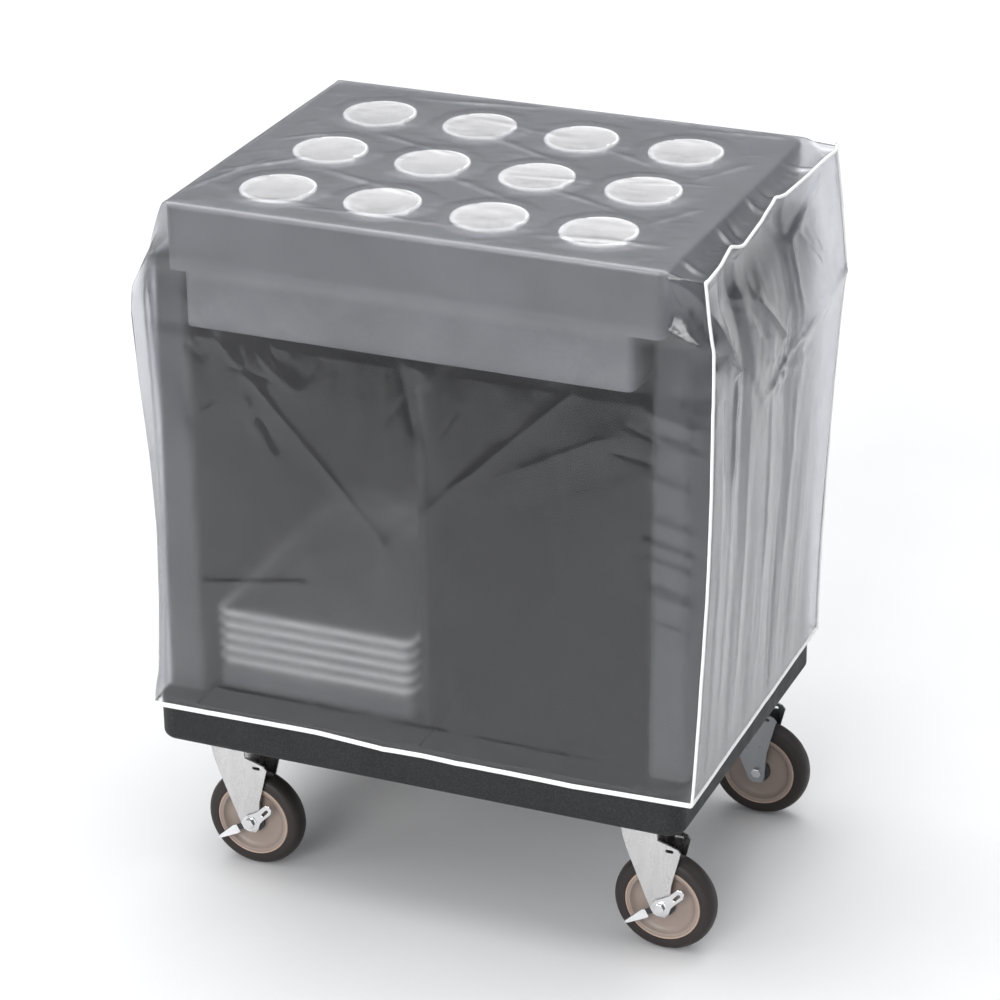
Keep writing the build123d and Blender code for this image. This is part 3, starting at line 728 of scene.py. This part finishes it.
def disp_right(y, z):
    d = 3.0 * np.sin((z - 283) / 780 * math.pi)
    # pulled in beside the rack, so the cloth below slopes outwards and turns dark
    d += -17.0 * np.exp(-((y + 90) / 170.0) ** 2) * np.exp(-((z - 1008) / 58.0) ** 2)
    d += 5.0 * np.exp(-((y - 60) / 190.0) ** 2) * np.exp(-((z - 872) / 46.0) ** 2)
    # the dart under the front corner
    d += -12.0 * np.exp(-((y + 262) / 18.0) ** 2) * np.exp(-((z - 990) / 42.0) ** 2)
    d += crease(y, z, (-290, 1056), (-184, 898), 8.0, 9, 0.03)
    d += crease(y, z, (-292, 972), (-184, 898), 6.0, 6, 0.03)
    d += -6.0 * np.exp(-(((y + 262) / 26.0) ** 2 + ((z - 938) / 12.0) ** 2))
    for a, c, hh, w in (((296, 879), (-26, 814), 3.6, 16), ((174, 796), (-30, 812), 2.6, 9), ((101, 833), (-14, 813), -2.8, 9),
                        ((84, 985), (92, 890), 2.4, 7), ((-59, 945), (24, 865), 2.8, 8), ((-144, 984), (-42, 934), 2.4, 10),
                        ((-100, 960), (-60, 900), -2.4, 14), ((114, 984), (178, 922), 3.0, 7), ((141, 982), (188, 935), 2.4, 5),
                        ((0, 1055), (84, 973), 3.0, 9), ((237, 1050), (84, 985), 3.0, 12), ((150, 1000), (240, 900), -2.6, 20),
                        ((24, 865), (30, 790), 2.0, 9), ((92, 890), (110, 760), 2.0, 10), ((-184, 898), (-192, 741), 3.0, 11),
                        ((-20, 789), (-18, 542), 1.5, 13), ((98, 788), (74, 501), 1.5, 14), ((-100, 700), (-90, 330), -1.3, 20),
                        ((-150, 620), (-140, 300), 1.1, 16), ((20, 600), (30, 300), -1.1, 18), ((150, 640), (130, 300), 1.2, 16),
                        ((210, 700), (200, 340), -1.1, 18), ((-240, 640), (-235, 300), 1.1, 14), ((60, 560), (52, 290), 1.1, 12),
                        ((-120, 870), (-60, 800), 1.6, 12), ((-230, 880), (-215, 700), -1.8, 16), ((20, 720), (120, 640), 1.4, 14),
                        ((140, 900), (40, 780), -1.6, 14), ((200, 860), (150, 780), 1.4, 9), ((-10, 850), (60, 900), 1.6, 9)):
        d += fold(y, z, a, c, hh, w, 0.4, 0.22)
    for a, c, hh, w in (((-26, 814), (296, 879), 1.8, 5), ((-28, 812), (60, 845), 1.5, 4), ((-18, 810), (101, 860), 1.3, 3.5),
                        ((-59, 945), (22, 867), 1.6, 3.5), ((114, 983), (177, 922), 1.7, 3.5), ((88, 973), (90, 800), 1.2, 4),
                        ((237, 1050), (88, 980), 1.5, 5), ((-20, 789), (-18, 400), 0.9, 4), ((98, 788), (74, 400), 0.9, 4),
                        ((-110, 930), (-40, 905), 1.2, 3.5), ((-80, 900), (-20, 885), 1.2, 3.5), ((-60, 862), (10, 838), 1.3, 3.5),
                        ((40, 835), (150, 850), 1.2, 3.5), ((130, 935), (190, 880), 1.3, 3.5), ((-186, 896), (-196, 420), 1.2, 5),
                        ((-120, 780), (-125, 330), 0.7, 4), ((40, 700), (36, 330), 0.7, 4), ((170, 760), (160, 320), 0.8, 4)):
        d += crease(y, z, a, c, hh, w, 0.08)
    low = 1 - sstep(700, 900, z)
    d += low * (0.75 * vnoise(y / 40, z / 300, 41) + 0.30 * vnoise(y / 15, z / 170, 42))
    d += (1 - low) * (1.1 * vnoise(y / 46 + z / 90, z / 60, 43) + 0.45 * vnoise(y / 18, z / 24, 44))
    d += 0.16 * vnoise(y / 9, z / 30, 45)
    return d


def disp_left(y, z):
    low = 1 - sstep(700, 900, z)
    d = low * (1.6 * vnoise(y / 42, z / 260, 51) + 0.8 * vnoise(y / 16, z / 160, 52))
    d += (1 - low) * (0.9 * vnoise(y / 40, z / 50, 53) + 0.4 * vnoise(y / 14, z / 18, 54))
    for a, c, hh, w in (((-200, 960), (-60, 860), 3.2, 12), ((200, 960), (60, 870), 3.0, 12), ((-40, 880), (-30, 400), 2.6, 14),
                        ((110, 840), (100, 380), 2.4, 14), ((-150, 800), (-140, 360), 2.2, 14)):
        d += fold(y, z, a, c, hh, w, 0.4, 0.22)
    return d + 1.4


NH, NW = ((218, 158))
front_r, back_r = G[:FR, -1], G[FR + TR + 2:, -1][::-1]
top_r = G[FR:FR + TR + 2, -1]
ER = end_panel(front_r, np.vstack([front_r[-1:], top_r, back_r[-1:]]), back_r, NH, NW, disp_right, 1)
front_l, back_l = G[:FR, 0], G[FR + TR + 2:, 0][::-1]
top_l = G[FR:FR + TR + 2, 0]
EL_ = end_panel(front_l, np.vstack([front_l[-1:], top_l, back_l[-1:]]), back_l, NH, NW, disp_left, -1)
zz = EL_[..., 2]
clear = -np.interp(zz, [298, 967, 972, 1064], [406.5, 400.8, 400.6, 357.6])
EL_[..., 0] = np.minimum(EL_[..., 0], clear)
ER[..., 0] = np.maximum(ER[..., 0], np.where(ER[..., 2] < 972, 407.0, 381.0))
cover_right = sheet_obj("cover_right_sheet", ER, False)
cover_left = sheet_obj("cover_left_sheet", EL_, True)
for end in (cover_right, cover_left):
    end.data.materials[0] = mat_vinyl_end


# ---- piping and hem: flattened tubes that follow the seams
def tube(name, line, rx, rz, mat, n=12, closed=False, out=None):
    """line in mm; an oval section, rx across and rz along the local up direction."""
    line = np.asarray(line, float)
    if closed:
        tan = np.roll(line, -1, 0) - np.roll(line, 1, 0)
    else:
        tan = np.gradient(line, axis=0)
    tan /= np.linalg.norm(tan, axis=1)[:, None]
    ref = np.asarray(out, float) if out is not None else np.tile([0, 0, 1.0], (len(line), 1))
    e1 = ref - tan * (ref * tan).sum(1)[:, None]
    e1 /= np.linalg.norm(e1, axis=1)[:, None]
    e2 = np.cross(tan, e1)
    a = np.linspace(0, 2 * math.pi, n, endpoint=False)
    v = (line[:, None] + e1[:, None] * (rz * np.cos(a))[None, :, None] + e2[:, None] * (rx * np.sin(a))[None, :, None])
    k = len(line)
    f = []
    for i in range(k if closed else k - 1):
        i2 = (i + 1) % k
        for j in range(n):
            j2 = (j + 1) % n
            f.append((i * n + j, i2 * n + j, i2 * n + j2, i * n + j2))
    if not closed:
        f.append(tuple(range(n)))
        f.append(tuple(range((k - 1) * n, k * n))[::-1])
    o = mesh_obj(name, v.reshape(-1, 3) * MM, f, mat)
    bm = bmesh.new()
    bm.from_mesh(o.data)
    bmesh.ops.recalc_face_normals(bm, faces=bm.faces)
    bm.to_mesh(o.data)
    bm.free()
    return o


def seam_line(col, side):
    line = np.vstack([G[:FR, col], G[FR:FR + TR + 2, col], G[FR + TR + 2:, col]])
    line = resample(line, 420)
    n = np.zeros_like(line)
    n[:, 0] = side
    wob = 0.5 * vnoise(np.arange(len(line)) / 9.0, np.zeros(len(line)), 61)
    line[:, 0] += side * (1.2 + wob * 0.5)
    return line, n


line_r, n_r = seam_line(-1, 1)
line_l, n_l = seam_line(0, -1)
pipe_r = tube("cover_right_welt", line_r, 2.4, 2.2, mat_bind, out=n_r)
pipe_l = tube("cover_left_welt", line_l, 2.4, 2.2, mat_bind, out=n_l)

hem = np.vstack([G[0, NL:], ER[0, 1:-1], G[-1, ::-1][:-NL], EL_[0, ::-1][1:-1]])
hem = np.vstack([G[0], ER[0, 1:-1], G[-1, ::-1], EL_[0, ::-1][1:-1]])
hem = resample(np.vstack([hem, hem[:1]]), 760)[:-1]
ctr = hem.copy()
hem_out = np.stack([ctr[:, 0] * 0, ctr[:, 0] * 0, np.ones(len(ctr))], 1)
rad = np.stack([np.sign(hem[:, 0]) * (np.abs(hem[:, 0]) > 405), np.sign(hem[:, 1]) * (np.abs(hem[:, 1]) > 284), np.zeros(len(hem))], 1)
hem = hem + rad * 0.6
pipe_h = tube("cover_hem_binding", hem, 1.6, 3.9, mat_bind, n=14, closed=True, out=hem_out)

cover_pieces = [("cover_main_sheet", cover_main), ("cover_right_sheet", cover_right), ("cover_left_sheet", cover_left),
                ("w", pipe_r), ("w", pipe_l), ("w", pipe_h)]
for _, o in cover_pieces:
    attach(o, "cover")


def swap(piece, *names):
    got = [n for n in names if n in nodes]
    if got:
        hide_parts(*got)


swap(cover_main, "cover_main_panel", "cover_front_panel", "cover_back_panel", "cover_top_panel")
swap(cover_right, "cover_right_end")
swap(cover_left, "cover_left_end")
swap(pipe_r, "cover_right_piping")
swap(pipe_l, "cover_left_piping")
swap(pipe_h, "cover_hem_piping")

# ------------------------------------------------------------------ cylinders
def cup_mesh():
    """A cutlery cylinder with a rolled rim and rows of drain slots; origin at its axis on the deck."""
    n = 96
    top = 4.3
    prof = [(44.0, top - 134.0), (46.0, top - 132.4), (46.6, top - 112), (46.9, top - 100), (47.3, top - 88), (47.6, top - 76),
            (48.0, top - 64), (48.4, top - 52), (48.8, top - 40), (49.4, top - 14), (49.8, top - 5.0),
            (50.6, top - 4.0), (53.8, top - 3.9), (55.0, top - 3.2), (55.3, top - 2.0), (54.7, top - 0.6),
            (53.4, top), (50.6, top - 0.1), (48.8, top - 1.2), (47.2, top - 5.0)]
    verts, faces = [], []
    k = len(prof)
    for i in range(n):
        a = 2 * math.pi * i / n
        # the lip is wider round the front left half, with a small tab at one end
        deg = math.degrees(a)
        wide = 0.0 if 138 < deg < 322 else (1.6 if 322 <= deg < 333 else (-6.0 if 333 <= deg < 345 else -3.2))
        verts += [((r + wide * sstep(50.2, 53.0, r)) * math.cos(a), (r + wide * sstep(50.2, 53.0, r)) * math.sin(a), h)
                  for r, h in prof]
    slot_rows = {3, 5, 7}
    for i in range(n):
        j = (i + 1) % n
        for p in range(k - 1):
            if p in slot_rows and (i % 6) in (0, 1, 2):
                continue
            faces.append((i * k + p, j * k + p, j * k + p + 1, i * k + p + 1))
    # floor with drain holes
    rings = [44.0, 38.0, 32.0, 26.0, 20.0, 14.0, 8.0]
    base = len(verts)
    for r in rings[1:]:
        for i in range(n):
            a = 2 * math.pi * i / n
            verts.append((r * math.cos(a), r * math.sin(a), top - 134.0))
    for q in range(len(rings) - 1):
        for i in range(n):
            j = (i + 1) % n
            if q in (1, 3) and (i % 6) in (0, 1, 2):
                continue
            o0 = (lambda t: t * k) if q == 0 else (lambda t, b0=base + (q - 1) * n: b0 + t)
            o1 = lambda t, b1=base + q * n: b1 + t
            faces.append((o0(i), o1(i), o1(j), o0(j)))
    c = len(verts)
    verts.append((0, 0, top - 134.0))
    for i in range(n):
        faces.append((base + 5 * n + i, c, base + 5 * n + (i + 1) % n))
    return [(x * MM, y * MM, z * MM) for x, y, z in verts], faces


cv, cf = cup_mesh()
for r in range(3):
    for c in range(4):
        i = r * 4 + c + 1
        cx, cy = (c - 1.5) * 0.158 + 0.008, (r - 1) * 0.169 - 0.009
        o = mesh_obj(f"cutlery_cup_{i:02d}", [(x + cx, y + cy, z + 1.063) for x, y, z in cv], cf, mat_cup, 50)
        mod = o.modifiers.new("wall", "SOLIDIFY")
        mod.thickness = 0.0018
        mod.offset = -1
        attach(o, f"cylinder_{i:02d}")
        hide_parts(f"cutlery_cylinder_{i:02d}")

def prism(name, outline, holes, y0, y1, mat, frame_at, ux, bend=0.0, bend_from=1e9):
    """A flat stamping: outline in (u, v) mm about the axle, u along ux, from y0 out to y1; the far end may be bent outwards."""
    bm = bmesh.new()
    loops = []
    for loop in [outline] + holes:
        vs = [bm.verts.new((u, v, 0)) for u, v in loop]
        loops += [bm.edges.new((vs[k], vs[(k + 1) % len(vs)])) for k in range(len(vs))]
    bmesh.ops.triangle_fill(bm, use_beauty=True, use_dissolve=False, edges=loops)
    geo = bmesh.ops.extrude_face_region(bm, geom=bm.faces[:])
    for e in geo["geom"]:
        if isinstance(e, bmesh.types.BMVert):
            e.co.z = 1.0
    bmesh.ops.recalc_face_normals(bm, faces=bm.faces)
    uz = (-ux[1], ux[0])
    for vtx in bm.verts:
        u, v, w = vtx.co
        out = y0 + (y1 - y0) * w + (bend * max(0.0, abs(u) - bend_from) if u < 0 else 0.0)
        vtx.co = ((frame_at[0] + (u * ux[0] + v * uz[0]) * MM), frame_at[1] - out * MM, frame_at[2] + (u * ux[1] + v * uz[1]) * MM)
    bmesh.ops.recalc_face_normals(bm, faces=bm.faces)
    me = bpy.data.meshes.new(name)
    bm.to_mesh(me)
    bm.free()
    me.materials.append(mat)
    o = bpy.data.objects.new(name, me)
    scene.collection.objects.link(o)
    mod = o.modifiers.new("edge", "BEVEL")
    mod.width = 0.0006
    mod.segments = 2
    mod.limit_method = "ANGLE"
    return o


def arc(cx, cy, r, a0, a1, n):
    return [(cx + r * math.cos(math.radians(a0 + (a1 - a0) * k / n)), cy + r * math.sin(math.radians(a0 + (a1 - a0) * k / n)))
            for k in range(n + 1)]

# ------------------------------------------------------------------ casters
for name, cx, cy, braked in CASTERS:
    wx = cx + 0.034
    c = (wx, cy, 0.0762)
    hub = [(5.06, 16.0), (5.06, 18.0), (13.0, 18.0), (16.6, 17.4), (18.4, 15.4), (19.6, 11.0), (21.5, 9.2), (25.0, 8.6), (34.0, 8.2),
           (41.0, 8.6), (45.0, 10.2), (47.8, 13.0), (49.6, 15.6), (51.0, 16.2), (54.2, 16.2)]
    face = [(r * MM, -h * MM) for r, h in hub]
    o = lathe(f"wheel_{name}_disc", face + [(r * MM, h * MM) for r, h in reversed(hub)], c, "Y", mat_hub, 96, True, 28)
    ring = [(54.2, 16.2), (54.5, 16.9), (55.2, 17.2), (56.0, 17.1), (56.9, 16.2)]
    rim = lathe(f"wheel_{name}_rim", [(r * MM, -h * MM) for r, h in ring] + [(r * MM, h * MM) for r, h in reversed(ring)], c, "Y",
                mat_rim, 96, True, 28)
    seal = []
    for s in (-1, 1):
        pr = [(6.0, 18.1), (8.0, 19.3), (16.0, 19.3), (18.6, 18.4), (19.2, 14.2), (6.0, 17.2)]
        seal.append(lathe(f"wheel_{name}_seal_{'a' if s < 0 else 'b'}", [(r * MM, s * h * MM) for r, h in pr], c, "Y", mat_seal, 64,
                          True, 28))
    for piece in (o, rim, *seal):
        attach(piece, f"{name}_wheel")
    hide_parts(f"caster_{name}_hub")
    if braked:
        at, ux = (wx, cy - 0.0237, 0.0762), (0.87, 0.493)
        plate_pts = [(-15, -6), (-9, -11.5), (0, -13.5), (9, -12), (15.5, -6.5), (24, -3.5), (40.5, 1.2), (45.6, 7.0), (44.6, 13.5),
                     (39, 17.0), (23, 12.4), (11, 12), (0, 12.6), (-8, 9.6), (-15, 5.2)]
        slot_pts = arc(27.6, 4.4, 2.3, 110, 290, 8) + arc(36.4, 7.4, 2.3, -70, 110, 8)
        bow = prism(f"brake_{name}_cam", plate_pts, [arc(0, 0, 5.1, 0, 345, 23), slot_pts], 0.6, 2.9, mat_chrome, at, ux)
        neck = prism(f"brake_{name}_neck", [(-31, -4.6), (-13, -5.4), (-13, 4.4), (-31, 3.8)], [], 0.4, 1.6, mat_seal, at, ux)
        pedal = prism(f"brake_{name}_pedal", [(-61.5, -3.4), (-58, -5.6), (-30, -9.0), (-24, -8.4), (-24, 5.0), (-30, 6.0), (-60, -0.6)], [],
                      0.6, 2.6, mat_chrome, at, ux, 0.16, 26.0)
        boss = lathe(f"brake_{name}_boss", [(5.1 * MM, 0.0), (5.1 * MM, -0.0036), (9.0 * MM, -0.0036), (10.6 * MM, -0.0030),
                                            (11.2 * MM, -0.0008), (11.2 * MM, 0.0)], at, "Y", mat_chrome, 48, True, 28)
        for piece in (bow, neck, pedal, boss):
            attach(piece, f"{name}_brake")
        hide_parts(f"caster_{name}_brake_lever")
    tread = [(57.0, 16.4), (57.6, 17.2), (60.0, 17.5), (64.0, 17.5), (67.4, 17.0), (70.4, 15.6), (72.9, 13.2), (74.6, 10.2), (75.7, 6.4),
             (76.2, 2.6), (76.2, 0.0)]
    pts = [(r * MM, -h * MM) for r, h in tread] + [(r * MM, h * MM) for r, h in reversed(tread[:-1])]
    t = lathe(f"wheel_{name}_tread", pts, c, "Y", mat_tyre, 120, True, 40)
    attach(t, f"{name}_wheel")
    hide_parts(f"caster_{name}_tyre")
